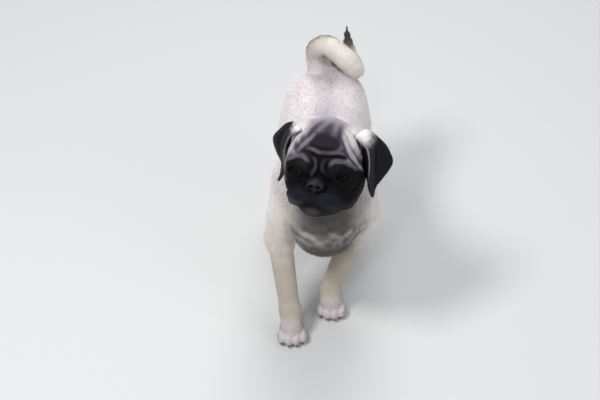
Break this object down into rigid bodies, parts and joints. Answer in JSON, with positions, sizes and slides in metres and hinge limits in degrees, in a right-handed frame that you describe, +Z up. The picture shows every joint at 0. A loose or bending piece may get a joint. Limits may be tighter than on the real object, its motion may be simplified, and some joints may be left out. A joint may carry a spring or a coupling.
{
  "type": "pug puppy figure",
  "caption": "Life-size walking pug puppy with a black mask, drop ears, a fawn coat and a tail curled over the hip.",
  "frame": {"origin": "on the floor under the middle of the puppy's bounding box", "axes": "+Z up, -Y the way the puppy walks, +X to its own left"},
  "size_m": [0.1482, 0.3264, 0.3109],
  "materials": {
    "mask": "short black fur",
    "nose": "moist black nose leather",
    "ear": "black velvet fur",
    "eye": "wet dark brown eye",
    "chest_coat": "soft grey-fawn fur",
    "body_coat": "short silvery fawn fur",
    "leg_coat": "short beige fur",
    "tail_tip": "dark brown fur"
  },
  "bodies": {
    "root": {"head": "mask", "jaw": "mask", "nose": "nose", "ear_left": "ear", "ear_right": "ear", "eye_left": "eye", "eye_right": "eye", "neck": "chest_coat", "chest": "body_coat", "belly": "body_coat", "rump": "body_coat", "shoulder_left": "body_coat", "shoulder_right": "body_coat", "thigh_left": "body_coat", "thigh_right": "body_coat", "foreleg_left": "leg_coat", "foreleg_right": "leg_coat", "hindleg_left": "leg_coat", "hindleg_right": "leg_coat", "forepaw_left": "leg_coat", "forepaw_right": "leg_coat", "hindpaw_left": "leg_coat", "hindpaw_right": "leg_coat", "tail_root": "body_coat", "tail_curl": "body_coat", "tail_tip": "tail_tip"}
  },
  "joints": []
}
